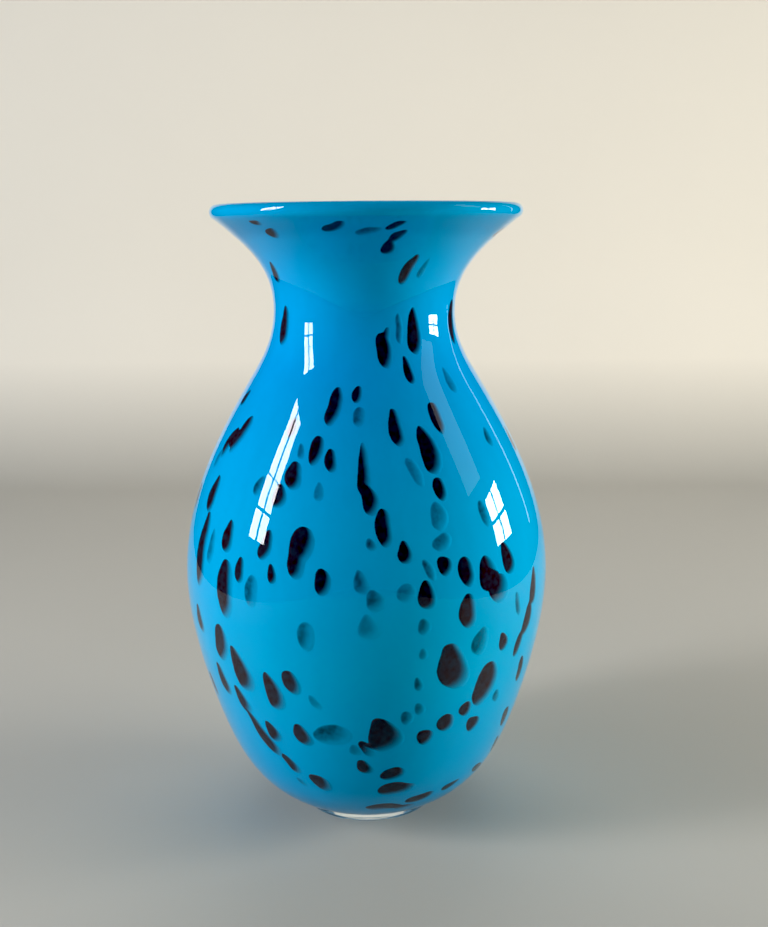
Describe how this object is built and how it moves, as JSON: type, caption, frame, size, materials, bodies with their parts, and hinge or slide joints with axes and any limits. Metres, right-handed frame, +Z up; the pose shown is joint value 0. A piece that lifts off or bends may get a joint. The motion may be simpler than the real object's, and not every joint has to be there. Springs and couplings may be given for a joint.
{
  "type": "art glass vase",
  "caption": "Baluster vase of cased blown glass with a flared lip, turquoise body, dark glass chips and a clear ground foot.",
  "frame": {"origin": "centre of the foot on the surface it stands on", "axes": "+Z up the vase's axis from the foot to the mouth; -Y is the side the picture shows"},
  "size_m": [0.1788, 0.1788, 0.3],
  "materials": {
    "clear_glass": "polished",
    "turquoise_glass": "gloss",
    "dark_glass": "gloss",
    "thin_dark_glass": "gloss",
    "lip_glass": "fire polished"
  },
  "bodies": {
    "root": {"inner_clear_lining": "clear_glass", "turquoise_colour_layer": "turquoise_glass", "base_casing": "clear_glass", "belly_casing": "clear_glass", "shoulder_casing": "clear_glass", "neck_casing": "clear_glass", "clear_base_heel": "clear_glass", "lip_bead": "lip_glass", "lip_chips": "dark_glass", "neck_chips": "dark_glass", "shoulder_chips": "dark_glass", "upper_belly_chips": "dark_glass", "belly_chips": "dark_glass", "lower_belly_chips": "dark_glass", "base_chips": "dark_glass", "thin_upper_chips": "thin_dark_glass", "thin_belly_chips": "thin_dark_glass", "thin_lower_chips": "thin_dark_glass"}
  },
  "joints": []
}
